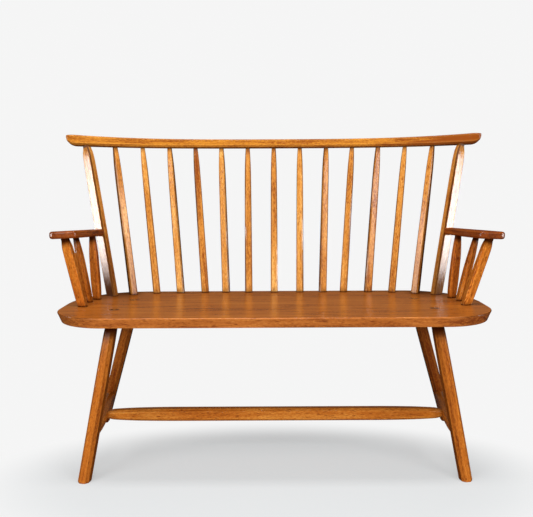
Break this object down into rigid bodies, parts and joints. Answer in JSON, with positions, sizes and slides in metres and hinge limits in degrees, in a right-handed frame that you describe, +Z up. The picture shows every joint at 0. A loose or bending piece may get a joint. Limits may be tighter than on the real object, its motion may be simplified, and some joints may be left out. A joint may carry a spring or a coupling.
{
  "type": "spindle back settee",
  "caption": "Wooden stick-back settee with a bent crest rail, shaved spindles, short flat arms on raked posts, a thick round-cornered seat board and splayed legs joined by an H stretcher.",
  "frame": {"origin": "middle of the bounding box in plan, on the floor under the feet", "axes": "+X along the bench, to the right of someone who faces it; +Y from its front to its back; +Z up"},
  "size_m": [1.275, 0.527, 0.9218],
  "materials": {
    "honey_oak": "glossy",
    "amber_oak": "glossy",
    "red_oak": "glossy",
    "dark_oak": "satin",
    "pale_oak": "satin"
  },
  "bodies": {
    "root": {"seat": "honey_oak", "crest_rail": "amber_oak", "spindle_middle": "amber_oak", "spindle_left_1": "amber_oak", "spindle_left_2": "amber_oak", "spindle_left_3": "amber_oak", "spindle_left_4": "amber_oak", "spindle_left_5": "amber_oak", "spindle_left_6": "amber_oak", "spindle_right_1": "amber_oak", "spindle_right_2": "amber_oak", "spindle_right_3": "amber_oak", "spindle_right_4": "amber_oak", "spindle_right_5": "amber_oak", "spindle_right_6": "amber_oak", "end_post_left": "amber_oak", "end_post_right": "amber_oak", "rail_peg_left": "dark_oak", "rail_peg_right": "dark_oak", "arm_dowel_left": "dark_oak", "arm_dowel_right": "dark_oak", "arm_post_left_1": "amber_oak", "arm_post_left_2": "amber_oak", "arm_post_left_3": "amber_oak", "arm_post_right_1": "amber_oak", "arm_post_right_2": "amber_oak", "arm_post_right_3": "amber_oak", "arm_left": "red_oak", "arm_right": "red_oak", "leg_front_left": "honey_oak", "leg_front_right": "honey_oak", "leg_rear_left": "honey_oak", "leg_rear_right": "honey_oak", "leg_wedge_front_left": "pale_oak", "leg_wedge_front_right": "pale_oak", "leg_wedge_rear_left": "pale_oak", "leg_wedge_rear_right": "pale_oak", "side_stretcher_left": "amber_oak", "side_stretcher_right": "amber_oak", "cross_stretcher": "amber_oak"}
  },
  "joints": []
}
